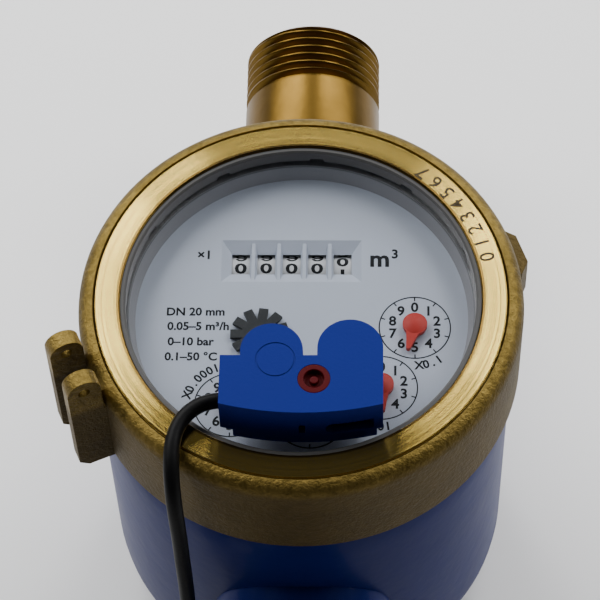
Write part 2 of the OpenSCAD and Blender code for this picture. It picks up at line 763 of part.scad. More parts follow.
lug_w = 12;
lug_out = 3.3;
lug_lift = 5;
lug_h = ring_h - 13.5;
module latch_lug() {
  translate([0, 0, ring_z + lug_lift]) linear_extrude(lug_h) polygon([[ring_r - 1.5, -lug_w / 2],
    [ring_r + 1, -lug_w / 2], [ring_r + lug_out, -lug_w / 2 + 2.5], [ring_r + lug_out, lug_w / 2 - 2.5],
    [ring_r + 1, lug_w / 2], [ring_r - 1.5, lug_w / 2]]);
}

module head_ring() color("goldenrod") difference() {
  union() {
    rotate_extrude() polygon(concat([[lip_r, lip_z], [lip_r, head_z - 0.3], [lip_r + 0.3, head_z],
      [face_r - groove, head_z], [face_r, head_z - groove_depth]], ring_shoulder,
      [[ring_r, ring_z + 0.5], [ring_r - 0.5, ring_z], [ring_in_r, ring_z], [ring_in_r, neck_top + fit],
      [neck_in_r, neck_top + fit], [neck_in_r, lip_z]]));
    rotate(hinge_angle) ear(1);
    rotate(hinge_angle) ear(-1);
    rotate(latch_angle) latch_lug();
  }
  rotate(hinge_angle) translate([ear_u, ear_gap + 2 * ear_t, ear_z]) rotate([90, 0, 0])
    cylinder(d = hinge_d, h = 2 * (ear_gap + 2 * ear_t));
}

// Outline of the pulse unit: straight back shelf, two round lobes, bowed front
module pulse_outline(inset) {
  back = shelf_y - inset;
  intersection() {
    union() {
      translate([pulse_left + inset, pulse_front - 5]) square([pulse_w - 2 * inset, back - pulse_front + 5]);
      for (lobe = [[lobe_left, lobe_left_r - inset], [lobe_right, lobe_right_r - inset]]) {
        translate(lobe[0]) circle(r = lobe[1]);
        translate([lobe[0][0] - lobe[1], pulse_front]) square([2 * lobe[1], lobe[0][1] - pulse_front]);
      }
    }
    translate([pulse_x, pulse_front + inset + pulse_front_r]) circle(r = pulse_front_r);
  }
}

// Foot under the housing, level with its front and drawn in at both ends
module pulse_base() color("navy") difference() {
  translate([0, 0, pulse_z]) linear_extrude(pulse_base_h) intersection() {
    pulse_outline(base_inset);
    translate([pulse_left + base_left, pulse_front]) square([pulse_w - base_left - base_right, pulse_w]);
  }
  rod(screw_at, boss_r + 0.2, pulse_z - cut, pulse_z + pulse_base_h + cut);
}

// Long slot in the front wall, round at its left end, and a small latch hole beside it
slot_x0 = 5.6;
slot_x1 = 15.4;
slot_z = pulse_z + pulse_base_h + 0.9;
slot_h = 3.6;
latch_x = 0.9;
latch_w = 1.3;
latch_h = 3.2;
latch_z = slot_z + 0.3;
ring_mark_r = 3.7;
ring_mark_at = lobe_left + [0.8, -2.2];
module pulse_slot() translate([0, pulse_front + 3, slot_z]) rotate([90, 0, 0]) linear_extrude(6) {
  translate([slot_x0 + slot_h / 2, 0]) square([slot_x1 - slot_x0 - slot_h / 2, slot_h]);
  translate([slot_x0 + slot_h / 2, slot_h / 2]) circle(d = slot_h);
}

module pulse_housing() color("mediumblue") difference() {
  union() {
    difference() {
      translate([0, 0, pulse_z + pulse_base_h]) linear_extrude(pulse_h - pulse_base_h) pulse_outline(0);
      translate([0, 0, pulse_z + pulse_base_h - cut])
        linear_extrude(pulse_h - pulse_base_h - pulse_wall + cut) pulse_outline(pulse_wall);
    }
    rod(screw_at, sleeve_r, pulse_z + boss_h, pulse_top);
  }
  rod(screw_at, plug_r, screw_floor, pulse_top + cut);
  rod(screw_at, screw_r + 0.2, pulse_z + boss_h - cut, screw_floor + cut);
  translate([pulse_left - cut, cable_y, cable_z]) rotate([0, 90, 0])
    cylinder(r = cable_r + 0.1, h = pulse_wall + 2 * cut);
  pulse_slot();
  translate([latch_x - latch_w / 2, pulse_front - cut, latch_z])
    cube([latch_w, 2 * cut + pulse_wall, latch_h]);
  translate(concat(ring_mark_at, 0)) band(ring_mark_r, ring_mark_r + 0.4, pulse_top - 0.15, cut);
}

module reed_switch() color("palegreen") {
  z = pulse_z + pulse_base_h + reed_r;
  cross_bar([reed_at[1], z], reed_r, reed_at[0] - reed_l / 2, reed_at[0] + reed_l / 2);
  cross_bar([reed_at[1], z], 0.3, reed_at[0] - reed_l / 2 - 1.4, reed_at[0] + reed_l / 2 + 2);
}

module fixing_screw() color("silver") difference() {
  union() {
    rod(screw_at, screw_r, glaze_z + 1.2, screw_floor);
    rod(screw_at, screw_head_r, screw_floor, screw_floor + screw_head_h);
  }
  translate([screw_at[0] - 2, screw_at[1] - 0.35, screw_floor + screw_head_h - 0.8]) cube([4, 0.7, 2]);
}

module seal_plug() color("firebrick") difference() {
  rod(screw_at, plug_r, pulse_top - plug_h, pulse_top);
  difference() {
    rod(screw_at, plug_r * 0.62, pulse_top - 1.4, pulse_top + cut);
    rod(screw_at, plug_r * 0.26, pulse_top - 2, pulse_top - 0.5);
  }
}

// Sweeps an eight-sided tube along a list of points
module tube(points, r, sides) {
  n = len(points);
  aside = [1, -1, 0.5];
  function along(i) = points[min(i + 1, n - 1)] - points[max(i - 1, 0)];
  function unit(v) = v / norm(v);
  function ring(i) = let (t = unit(along(i)), a = unit(cross(t, aside)), b = cross(t, a))
    [for (s = [0:sides - 1]) points[i] + r * (cos(s * 360 / sides) * a + sin(s * 360 / sides) * b)];
  polyhedron([for (i = [0:n - 1]) each ring(i)], concat(
    [[for (s = [0:sides - 1]) s]],
    [for (i = [0:n - 2]) for (s = [0:sides - 1]) let (u = (s + 1) % sides)
      [i * sides + s, (i + 1) * sides + s, (i + 1) * sides + u, i * sides + u]],
    [[for (s = [sides - 1:-1:0]) (n - 1) * sides + s]]));
}

module cable() color("#181818") tube(cable_route, cable_r, 8);

// Ring for the coiled rest, with the end of the sheath lying on it
tail_l = 8;
tail_z = 2 * coil_half + cable_r - 0.05;
module cable_coil() color("#181818") translate([coil_at[0], coil_at[1], 0]) {
  translate([-coil_r, -tail_l, tail_z]) rotate([-90, 0, 0]) cylinder(r = cable_r, h = tail_l);
  rotate_extrude() polygon([[coil_r - coil_half + 1, 0], [coil_r + coil_half - 1, 0], [coil_r + coil_half, 1],
    [coil_r + coil_half, 2 * coil_half - 1], [coil_r + coil_half - 1, 2 * coil_half],
    [coil_r - coil_half + 1, 2 * coil_half], [coil_r - coil_half, 2 * coil_half - 1],
    [coil_r - coil_half, 1]]);
}

lead_r = 0.6;
lead_l = 14;
module cable_leads() color("silver") for (s = [-1, 1])
  translate([coil_at[0] - coil_r + s * lead_r * 1.6, coil_at[1], tail_z]) rotate([-90, 0, 0])
    cylinder(r = lead_r, h = lead_l);

body_casting();
inlet_strainer();
chamber_gasket();
measuring_chamber();
chamber_cover();
pivot_pin();
impeller();
impeller_bush();
drive_magnet();
separator_seal();
separator_plate();
register_cup();
driven_magnet();
magnet_pinion();
lower_gear_plate();
plate_pillars();
upper_gear_plate();
star_arbor();
star_wheel();
first_gear();
for (k = [1:4]) pointer_arbor(k);
for (k = [1:4]) pointer(k);
for (k = [1:3]) step_gear(k);
pulse_magnet();
counter_idler();
counter_worm();
counter_frame();
roller_shaft();
carry_shaft();
for (k = [1:5]) roller(k);
for (k = [1:4]) carry_pinion(k);
dial_plate();
register_rim();
window();
glazing_ring();
head_ring();
pulse_base();
pulse_housing();
reed_switch();
fixing_screw();
seal_plug();
cable();
cable_coil();
cable_leads();
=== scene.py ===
# Looks of a multi-jet water meter with a cabled pulse unit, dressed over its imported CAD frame.
import json
import math

import bmesh
import bpy
import numpy as np
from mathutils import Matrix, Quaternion, Vector


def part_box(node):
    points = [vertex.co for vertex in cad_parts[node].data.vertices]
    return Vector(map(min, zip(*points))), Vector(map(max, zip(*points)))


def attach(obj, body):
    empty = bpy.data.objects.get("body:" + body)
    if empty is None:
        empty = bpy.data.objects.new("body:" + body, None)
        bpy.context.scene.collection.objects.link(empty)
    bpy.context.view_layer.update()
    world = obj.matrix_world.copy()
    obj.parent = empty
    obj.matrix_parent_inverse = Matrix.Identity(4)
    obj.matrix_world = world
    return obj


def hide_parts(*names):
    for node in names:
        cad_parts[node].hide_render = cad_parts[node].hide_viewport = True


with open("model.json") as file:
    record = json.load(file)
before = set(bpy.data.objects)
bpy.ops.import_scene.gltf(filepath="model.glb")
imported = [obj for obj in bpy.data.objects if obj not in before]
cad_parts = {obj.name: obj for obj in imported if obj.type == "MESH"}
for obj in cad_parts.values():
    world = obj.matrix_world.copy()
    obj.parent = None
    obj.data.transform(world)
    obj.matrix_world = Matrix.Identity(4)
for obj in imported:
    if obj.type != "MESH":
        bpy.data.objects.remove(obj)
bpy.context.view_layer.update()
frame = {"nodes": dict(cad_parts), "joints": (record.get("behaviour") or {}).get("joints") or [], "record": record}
nodes = frame["nodes"]
bodyOf = {n: b for b, members in frame["record"]["behaviour"]["bodies"].items() for n in members}
slotOf = {s["node"]: s["material_slot"] for s in frame["record"]["subparts"]}
jointOf = {j["child"]: j for j in frame["joints"]}
mm = 0.001
print("frame loaded:", len(nodes), "nodes")


def show(name, data):
    # A new object in the scene
    made = bpy.data.objects.new(name, data)
    bpy.context.scene.collection.objects.link(made)
    return made


def evaluated(piece):
    # The object with its modifiers or its text worked out
    bpy.context.view_layer.update()
    return piece.evaluated_get(bpy.context.evaluated_depsgraph_get())


def meshParts(mesh):
    # A mesh as an array of points and a list of faces
    points = np.zeros(len(mesh.vertices) * 3)
    mesh.vertices.foreach_get("co", points)
    return points.reshape(-1, 3), [list(f.vertices) for f in mesh.polygons]


def axisOf(body):
    # Where an upright hinge stands, in millimetres
    return [c / mm for c in jointOf[body]["pos_m"][:2]]


# Heights, places and radii that the dressing shares with the CAD, in millimetres

head = dict(ringR=47.0, faceEdge=3.5, glazingSink=0.6, faceDepth=0.05)
headZ = round(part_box("glazing_ring")[1].z / mm + head["glazingSink"], 3)
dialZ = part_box("dial_plate")[1].z / mm
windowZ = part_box("window")[0].z / mm
rollerX = [jointOf["roller_%d" % k]["pos_m"][0] / mm for k in range(1, 6)]
rowY, rollerZ = (c / mm for c in jointOf["roller_1"]["pos_m"][1:3])
rollerR = (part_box("roller_3")[1].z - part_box("roller_3")[0].z) / 2 / mm
faceR = head["ringR"] - head["faceEdge"]
ringPoints = meshParts(nodes["head_ring"].data)[0] / mm
onFace = ringPoints[:, 2] > headZ - head["faceDepth"]
innerR = float(np.hypot(ringPoints[:, 0], ringPoints[:, 1])[onFace].min())
print("face of the ring from", round(innerR, 2), "to", faceR)


# Camera and light

cameraSet = dict(target=(0.0, 0.0, headZ), distance=550, azimuth=3.0, elevation=58.05, roll=2.41,
                 lens=157.26, sensor=36.0, shift=(-0.00097, -0.00868), clip=(0.01, 20))


def makeCamera(s):
    a, e = math.radians(s["azimuth"]), math.radians(s["elevation"])
    back = Vector((math.sin(a) * math.cos(e), -math.cos(a) * math.cos(e), math.sin(e)))
    data = bpy.data.cameras.new("camera")
    data.lens, data.sensor_width = s["lens"], s["sensor"]
    data.shift_x, data.shift_y = s["shift"]
    data.clip_start, data.clip_end = s["clip"]
    camera = show("camera", data)
    camera.location = (Vector(s["target"]) + back * s["distance"]) * mm
    camera.rotation_mode = "QUATERNION"
    turn = Quaternion((0, 0, 1), -math.radians(s["roll"]))
    camera.rotation_quaternion = (-back).to_track_quat("-Z", "Y") @ turn
    bpy.context.scene.camera = camera


# Panels in metres and watts; the fill is the world's own faint light
studio = dict(aim=(0, 0, 0.08), fill=0.075, fillColour=(0.95, 0.97, 1.0, 1), panels=dict(
    backPanel=dict(at=(0.0, 1.32, 0.84), size=(1.5, 0.30), power=9.0),
    backLeftPanel=dict(at=(-0.42, 1.02, 1.06), size=(0.36, 0.36), power=3.4),
    backRightPanel=dict(at=(0.42, 1.02, 1.06), size=(0.36, 0.36), power=3.4),
    leftPanel=dict(at=(-0.84, 0.60, 1.04), size=(1.20, 0.90), power=23.0),
    rightPanel=dict(at=(0.86, 0.60, 1.00), size=(1.20, 0.90), power=18.5)))


def makeLights(s):
    for name, panel in s["panels"].items():
        data = bpy.data.lights.new(name, "AREA")
        data.shape = "RECTANGLE"
        data.size, data.size_y = panel["size"]
        data.energy = panel["power"]
        lamp = show(name, data)
        lamp.location = panel["at"]
        lamp.rotation_mode = "QUATERNION"
        lamp.rotation_quaternion = (Vector(s["aim"]) - lamp.location).to_track_quat("-Z", "Y")
    world = bpy.data.worlds.new("studio")
    world.use_nodes = True
    fill = world.node_tree.nodes["Background"]
    fill.inputs["Color"].default_value = s["fillColour"]
    fill.inputs["Strength"].default_value = s["fill"]
    bpy.context.scene.world = world


makeCamera(cameraSet)
makeLights(studio)
print("camera and lights set")


# Shader maths: a Wire is a socket, and arithmetic on it adds Math nodes

class Wire:
    def __init__(self, paint, socket):
        self.paint, self.socket = paint, socket

    def calc(self, operation, a, b=0.0):
        return self.paint.node("ShaderNodeMath", dict(operation=operation), {0: a, 1: b})

    def __add__(self, other): return self.calc("ADD", self, other)
    def __radd__(self, other): return self.calc("ADD", other, self)
    def __sub__(self, other): return self.calc("SUBTRACT", self, other)
    def __rsub__(self, other): return self.calc("SUBTRACT", other, self)
    def __mul__(self, other): return self.calc("MULTIPLY", self, other)
    def __rmul__(self, other): return self.calc("MULTIPLY", other, self)
    def __truediv__(self, other): return self.calc("DIVIDE", self, other)
    def __pow__(self, other): return self.calc("POWER", self, other)
    def __abs__(self): return self.calc("ABSOLUTE", self)


class Paint:
    # One material: its nodes are made by one method, and settings come before sockets
    def __init__(self, name, **constants):
        self.material = bpy.data.materials.new(name)
        self.material.use_nodes = True
        self.tree = self.material.node_tree
        self.shader = self.tree.nodes["Principled BSDF"]
        self.set(**constants)

    def node(self, kind, settings=None, sockets=None, out=0):
        made = self.tree.nodes.new(kind)
        for key, value in (settings or {}).items():
            setattr(made, key, value)
        for key, value in (sockets or {}).items():
            self.put(made.inputs[key], value)
        return Wire(self, made.outputs[out])

    def put(self, target, value):
        if isinstance(value, Wire):
            self.tree.links.new(value.socket, target)
        else:
            target.default_value = value

    def set(self, **sockets):
        for key, value in sockets.items():
            if isinstance(value, tuple) and len(value) == 3:
                value = (*value, 1)
            self.put(self.shader.inputs[key.replace("_", " ")], value)
        return self

    def place(self):
        return self.node("ShaderNodeTexCoord", out="Object")

    def axes(self):
        split = self.node("ShaderNodeSeparateXYZ", None, {0: self.place()})
        return [Wire(self, socket) for socket in split.socket.node.outputs]

    def noise(self, scale, detail=3.0, rough=0.55, stretch=None):
        place = self.place()
        if stretch:
            place = self.node("ShaderNodeMapping", None, {"Vector": place, "Scale": stretch})
        return self.node("ShaderNodeTexNoise", None,
                         {"Vector": place, "Scale": scale, "Detail": detail, "Roughness": rough})

    # 0 below low, 1 above high, smooth between
    def step(self, value, low, high):
        return self.node("ShaderNodeMapRange", dict(interpolation_type="SMOOTHSTEP"),
                         {"Value": value, "From Min": low, "From Max": high})

    # The same for a length, between two distances from a place in millimetres
    def over(self, value, at, way):
        return self.step(value, (at + way[0]) * mm, (at + way[1]) * mm)

    # A Mix node's sockets 6 and 7 are its colours, 4 and 5 its vectors
    def mix(self, factor, a, b):
        colours = [c if isinstance(c, Wire) else (*c, 1) for c in (a, b)]
        return self.node("ShaderNodeMix", dict(data_type="RGBA"),
                         {0: factor, 6: colours[0], 7: colours[1]}, out=2)

    def mixNormals(self, factor, a, b):
        return self.node("ShaderNodeMix", dict(data_type="VECTOR"), {0: factor, 4: a, 5: b}, out=1)

    def relief(self, height, depth, strength=1.0):
        return self.node("ShaderNodeBump", None,
                         {"Height": height, "Distance": depth * mm, "Strength": strength})

    def bump(self, height, depth, strength=1.0):
        return self.set(Normal=self.relief(height, depth, strength))


# Finishes. A pair of tones is mixed by noise; a roughness is its least value and what noise adds

def mouldedPlastic(name, colour, rough, grain=900, depth=0.02, drift=0.12, spread=0.12, **constants):
    # Two close tones that drift over some centimetres, fine moulding grain in gloss and height
    p = Paint(name, **{"Specular_IOR_Level": 0.22, **constants})
    cloud, fine = p.noise(45, 2.0), p.noise(grain, 2.0)
    dark = tuple(c * (1 - drift) for c in colour)
    p.set(Base_Color=p.mix(cloud, dark, colour), Roughness=rough - spread / 2 + fine * spread)
    p.bump(fine, depth)
    return p.material


castSet = dict(bareOut=(73.8, 74.4), blue=((0.003, 0.008, 0.080), (0.006, 0.014, 0.125)),
               brass=((0.095, 0.054, 0.0095), (0.155, 0.091, 0.019)), blueRough=(0.30, 0.16),
               brassRough=(0.26, 0.2), coat=0.05, lumpShare=0.7, depth=0.35, strength=0.6)


def castPaint(s):
    # Gloss paint over a casting; bare brass from the collar outwards
    p = Paint("castPaint", Coat_Roughness=0.08, IOR=1.45, Specular_IOR_Level=0.06)
    bare = p.over(abs(p.axes()[1]), 0, s["bareOut"])
    painted = 1 - bare
    lumps, peel, dust = p.noise(60, 3.0), p.noise(260, 2.0), p.noise(24, 4.0)
    blue, brass = p.mix(dust, *s["blue"]), p.mix(p.noise(130, 4.0), *s["brass"])
    blueRough = s["blueRough"][0] + dust * s["blueRough"][1]
    brassRough = s["brassRough"][0] + lumps * s["brassRough"][1]
    p.set(Base_Color=p.mix(bare, blue, brass), Metallic=bare,
          Roughness=painted * blueRough + bare * brassRough, Coat_Weight=painted * s["coat"])
    p.bump(lumps * s["lumpShare"] + peel * (1 - s["lumpShare"]), s["depth"], s["strength"])
    return p.material


# Lengths up from the head's face, or out from the face's inner or outer edge
ringSet = dict(faceUp=(-0.6, -0.25), levelUp=(-0.12, -0.03), lowUp=(-3.4, -0.7), faceOut=(-0.2, 0.25),
               innerEdgeShadeOut=(0.15, 0.65), grooveWide=(0.14, 0.42), innerEdgeShade=(0.17, 0.105, 0.026),
               groove=(0.085, 0.054, 0.018), grooveShare=0.5,
               face=((0.555, 0.383, 0.085), (0.655, 0.468, 0.122)), faceRough=(0.08, 0.03),
               skin=((0.082, 0.056, 0.013), (0.205, 0.142, 0.038)), skinSpread=(0.3, 0.7),
               shadedLowSkin=((0.045, 0.032, 0.014), (0.105, 0.076, 0.032)), lowShare=0.85,
               skinRough=(0.46, 0.14), lowRough=0.10, sandShare=0.75, depth=0.45, strength=0.9,
               marks=60000, tilt=1.3)


def ringBrass(s):
    # Machined flat face with turning marks and painted shade along its inner edge and in the groove at its outer
    # edge; sandy cast skin outside it, with painted shade making it darker low down
    p = Paint("ringBrass", Metallic=1.0)
    x, y, z = p.axes()
    radius = (x * x + y * y) ** 0.5
    machined = p.over(z, headZ, s["faceUp"]) * (1 - p.over(radius, faceR, s["faceOut"]))
    # painted shade: the cast skin is darker low down
    low = 1 - p.over(z, headZ, s["lowUp"])
    # painted shade: a brown band along the inner edge of the face
    inner = 1 - p.over(radius, innerR, s["innerEdgeShadeOut"])
    # painted shade: darker brown in the groove round the outer edge of the face
    groove = 1 - p.over(abs(radius - faceR * mm), 0, s["grooveWide"])
    sand, grit = p.noise(750, 3.0, 0.7), p.noise(1900, 2.0)
    stain, cloud = p.noise(55, 5.0, 0.65), p.noise(18, 2.0)
    turning = p.node("ShaderNodeTexNoise", dict(noise_dimensions="1D"),
                     {"W": radius, "Scale": s["marks"], "Detail": 0.0})
    skin = p.mix(p.step(stain * 0.5 + sand * 0.5, *s["skinSpread"]), *s["skin"])
    skin = p.mix(low * s["lowShare"], skin, p.mix(stain, *s["shadedLowSkin"]))
    colour = p.mix(machined, skin, p.mix(cloud, *s["face"]))
    colour = p.mix(groove * s["grooveShare"], colour, s["groove"])
    faceRough = s["faceRough"][0] + turning * s["faceRough"][1]
    skinRough = s["skinRough"][0] + grit * s["skinRough"][1] + low * s["lowRough"]
    p.set(Base_Color=p.mix(inner, colour, s["innerEdgeShade"]),
          Roughness=machined * faceRough + (1 - machined) * skinRough)
    # The lathe's fine grooves tilt the level face only towards or away from the axis
    tilt = (turning - 0.5) * s["tilt"] / radius
    turned = p.node("ShaderNodeCombineXYZ", None, {0: x * tilt, 1: y * tilt, 2: 1.0})
    turned = p.node("ShaderNodeVectorMath", dict(operation="NORMALIZE"), {0: turned})
    grain = sand * s["sandShare"] + grit * (1 - s["sandShare"])
    cast = p.relief((1 - machined) * grain, s["depth"], s["strength"])
    p.set(Normal=p.mixNormals(machined * p.over(z, headZ, s["levelUp"]), cast, turned))
    return p.material


def drawnMetal(name, colour, rough, drift=0.14, spread=0.15, depth=0.01):
    # Fine streaks along x in gloss and height
    p = Paint(name, Metallic=1.0)
    streak, cloud = p.noise(700, 3.0, 0.6, stretch=(0.1, 1, 1)), p.noise(60, 3.0)
    dark = tuple(c * (1 - drift) for c in colour)
    p.set(Base_Color=p.mix(cloud, dark, colour), Roughness=rough + streak * spread)
    p.bump(streak, depth)
    return p.material


windowSet = dict(tint=(0.97, 0.975, 0.98, 1), shine=(1, 1, 1, 1), rough=0.04, index=1.45,
                 edgeShare=0.6, smearShare=0.006)


def clearWindow(s):
    # Thin reflection over clear: the share of gloss grows to the edge of sight
    p = Paint("clearWindow", Base_Color=(1.0, 1.0, 1.0), Roughness=0.03)
    smear = p.noise(40, 4.0)
    clear = p.node("ShaderNodeBsdfTransparent", None, {"Color": s["tint"]})
    gloss = p.node("ShaderNodeBsdfGlossy", None, {"Color": s["shine"], "Roughness": s["rough"]})
    edge = p.node("ShaderNodeFresnel", None, {"IOR": s["index"]})
    share = edge * s["edgeShare"] + smear * s["smearShare"]
    both = p.node("ShaderNodeMixShader", None, {0: share, 1: clear, 2: gloss})
    p.put(p.tree.nodes["Material Output"].inputs["Surface"], both)
    return p.material


sheathSet = dict(tones=((0.0012, 0.0012, 0.0014), (0.0045, 0.0045, 0.005)), rough=(0.40, 0.2), depth=0.03)


def sheathRubber(s):
    # Black with faint scuffs that are paler and duller
    p = Paint("sheathRubber", Specular_IOR_Level=0.10)
    fine, scuff = p.noise(1600, 2.0), p.noise(120, 4.0)
    p.set(Base_Color=p.mix(scuff, *s["tones"]), Roughness=s["rough"][0] + scuff * s["rough"][1])
    p.bump(fine, s["depth"])
    return p.material


# Lengths up from the window's underside, and for the painted shade on the upper edge from the head's face
rimSet = dict(tones=((0.140, 0.138, 0.137), (0.175, 0.173, 0.172)), wall=(0.33, 0.33, 0.34),
              seat=(0.42, 0.42, 0.43), paintedShadeBrow=(0.070, 0.069, 0.068), wallUp=(-0.6, -0.2),
              seatUp=(-0.12, -0.02), seatEnd=(0.02, 0.12), browUp=(-1.3, -0.9), rough=(0.36, 0.12), depth=0.015)


def rimGrey(s):
    # Grey moulding, with painted light making the wall and the seat below the window paler, and painted shade
    # darkening the upper edge next to the brass
    p = Paint("rimGrey", Specular_IOR_Level=0.12)
    z = p.axes()[2]
    cloud, fine = p.noise(45, 2.0), p.noise(900, 2.0)
    # painted light: the wall below the window is paler than the moulding
    wall = 1 - p.over(z, windowZ, s["wallUp"])
    # painted light: the seat under the window's edge is paler
    seat = p.over(z, windowZ, s["seatUp"]) * (1 - p.over(z, windowZ, s["seatEnd"]))
    # painted shade: the upper edge next to the brass is darker, so that it shows no highlight
    paintedShadeBrow = p.over(z, headZ, s["browUp"])
    tone = p.mix(wall, p.mix(cloud, *s["tones"]), s["wall"])
    tone = p.mix(paintedShadeBrow, p.mix(seat, tone, s["seat"]), s["paintedShadeBrow"])
    p.set(Base_Color=tone, Roughness=s["rough"][0] + fine * s["rough"][1])
    p.bump(fine, s["depth"])
    return p.material


finish = dict(
    body=castPaint(castSet),
    ring=ringBrass(ringSet),
    turnedBrass=drawnMetal("turnedBrass", (0.74, 0.56, 0.27), 0.22),
    steel=drawnMetal("drawnSteel", (0.60, 0.61, 0.62), 0.22),
    tinned=drawnMetal("tinnedWire", (0.62, 0.60, 0.58), 0.28),
    dial=mouldedPlastic("dialWhite", (0.54, 0.585, 0.67), 0.45, depth=0.008, drift=0.03),
    roller=mouldedPlastic("rollerWhite", (0.70, 0.71, 0.72), 0.42, depth=0.008, drift=0.05),
    chamber=mouldedPlastic("chamberWhite", (0.72, 0.73, 0.72), 0.45),
    gear=mouldedPlastic("gearIvory", (0.74, 0.70, 0.58), 0.38),
    grey=rimGrey(rimSet),
    dark=mouldedPlastic("starDark", (0.028, 0.031, 0.033), 0.45),
    ink=mouldedPlastic("printInk", (0.005, 0.006, 0.008), 0.6, depth=0.004),
    stamp=mouldedPlastic("stampedDark", (0.050, 0.033, 0.010), 0.65, depth=0.01),
    pointer=mouldedPlastic("pointerRed", (0.52, 0.045, 0.035), 0.42, depth=0.01),
    plug=mouldedPlastic("plugRed", (0.062, 0.0015, 0.003), 0.50, depth=0.02, Specular_IOR_Level=0.08),
    unit=mouldedPlastic("unitBlue", (0.0001, 0.0095, 0.150), 0.50, grain=1400, depth=0.03, drift=0.10,
                        Specular_IOR_Level=0.10),
    ferrite=mouldedPlastic("ferrite", (0.020, 0.020, 0.022), 0.55, grain=1600),
    seal=mouldedPlastic("sealRubber", (0.012, 0.012, 0.012), 0.62),
    sheath=sheathRubber(sheathSet),
    window=clearWindow(windowSet),
    reed=mouldedPlastic("reedGlass", (0.30, 0.46, 0.36), 0.15, depth=0.002, Coat_Weight=0.6),
)
finishOfSlot = dict(blue_paint="body", brass="turnedBrass", white_plastic="chamber", gear_plastic="gear",
                    grey_plastic="grey", dark_plastic="dark", red_plastic="pointer", blue_plastic="unit",
                    rubber="seal", magnet="ferrite", steel="steel", window="window", switch_glass="reed",
                    cable="sheath")
finishOfNode = dict(head_ring="ring", dial_plate="dial", seal_plug="plug", cable_leads="tinned",
                    **{"roller_%d" % k: "roller" for k in range(1, 6)})
for name, node in nodes.items():
    node.data.materials.clear()
    node.data.materials.append(finish[finishOfNode.get(name, finishOfSlot[slotOf[name]])])
print("finishes made:", len(finish))


# Making pieces. A part is its points in millimetres and its faces

cadGap, pieceGap = 2e-6, 1e-7  # metres within which points become one
blockFaces = [[3, 2, 1, 0], [4, 5, 6, 7], [0, 1, 5, 4], [1, 2, 6, 5], [2, 3, 7, 6], [3, 0, 4, 7]]


def gridFaces(rows, columns, wrapRows=False, wrapColumns=False):
    # Quads between neighbouring points of a grid, closed round where asked
    r = np.arange(rows if wrapRows else rows - 1)
    c = np.arange(columns if wrapColumns else columns - 1)
    i, j = (a.ravel() for a in np.meshgrid(r, c, indexing="ij"))
    k, n = (i + 1) % rows, (j + 1) % columns
    return np.stack([i * columns + j, k * columns + j, k * columns + n, i * columns + n], 1).tolist()


def closedFaces(rows, columns):
    # Rows closed round, with a face over the first and over the last
    last = (rows - 1) * columns
    ends = [list(range(columns)), [last + i for i in range(columns)]]
    return gridFaces(rows, columns, wrapColumns=True) + ends


def addPiece(name, part, material, body="meter", smoothAngle=35):
    # Neighbouring parts of one piece are joined and its faces turned outwards
    points, faces = part
    mesh = bpy.data.meshes.new(name)
    mesh.from_pydata((np.asarray(points, float).reshape(-1, 3) * mm).tolist(), [], faces)
    shape = bmesh.new()
    shape.from_mesh(mesh)
    bmesh.ops.remove_doubles(shape, verts=shape.verts, dist=pieceGap)
    bmesh.ops.recalc_face_normals(shape, faces=shape.faces)
    shape.to_mesh(mesh)
    shape.free()
    return addMesh(name, mesh, material, body, smoothAngle)


def addMesh(name, mesh, material, body, smoothAngle):
    if "custom_normal" in mesh.attributes:  # a copied CAD mesh brings normals that no longer fit
        mesh.attributes.remove(mesh.attributes["custom_normal"])
    mesh.polygons.foreach_set("use_smooth", np.ones(len(mesh.polygons), bool))
    mesh.set_sharp_from_angle(angle=math.radians(smoothAngle))
    mesh.materials.clear()
    mesh.materials.append(material)
    piece = show(name, mesh)
    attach(piece, body)
    return piece


def mergedCopy(name):
    # Copy of a CAD node's mesh, and its shape with the loose triangles joined
    mesh = nodes[name].data.copy()
    shape = bmesh.new()
    shape.from_mesh(mesh)
    bmesh.ops.remove_doubles(shape, verts=shape.verts, dist=cadGap)
    return mesh, shape


def joinParts(parts):
    # Several parts as one
    points, faces, count = [], [], 0
    for p, f in parts:
        p = np.asarray(p, float).reshape(-1, 3)
        points.append(p)
        faces += [[i + count for i in face] for face in f]
        count += len(p)
    return np.concatenate(points), faces


# Cable: one line from the housing wall down to the ground and round its coil

cable = dict(d=3.3, sides=16, spacing=1.1, coilAt=(-46.0, -86.0), rings=(21.8, 18.5, 15.2),
             coilStart=12, coilTurns=8.53, coilStep=6.0, shift=(0.86, 0.14), climb=(0.05, 0.3),
             route=[[-14.4, -27, 106.5], [-17.2, -27.2, 106.6], [-20.2, -28.3, 106.7], [-22.9, -30.6, 106.6],
                    [-24.6, -33.8, 106.4], [-25.3, -37.4, 106], [-25.4, -41.2, 104.7], [-25.2, -44.6, 102],
                    [-24.9, -47, 98], [-24.6, -48.4, 93], [-24.4, -49.2, 86], [-24.3, -49.8, 78],
                    [-24.2, -50.2, 70], [-24.2, -50.5, 62], [-24.3, -50.8, 54], [-24.4, -51.1, 46],
                    [-24.5, -51.5, 38], [-24.6, -52.1, 30], [-24.5, -53.2, 23], [-24.2, -55.2, 16.5],
                    [-23.7, -58.2, 10.8], [-23, -62.2, 6.2], [-22.4, -67, 3.2], [-22.2, -72.5, 1.9],
                    [-22.6, -77.5, 1.66]])


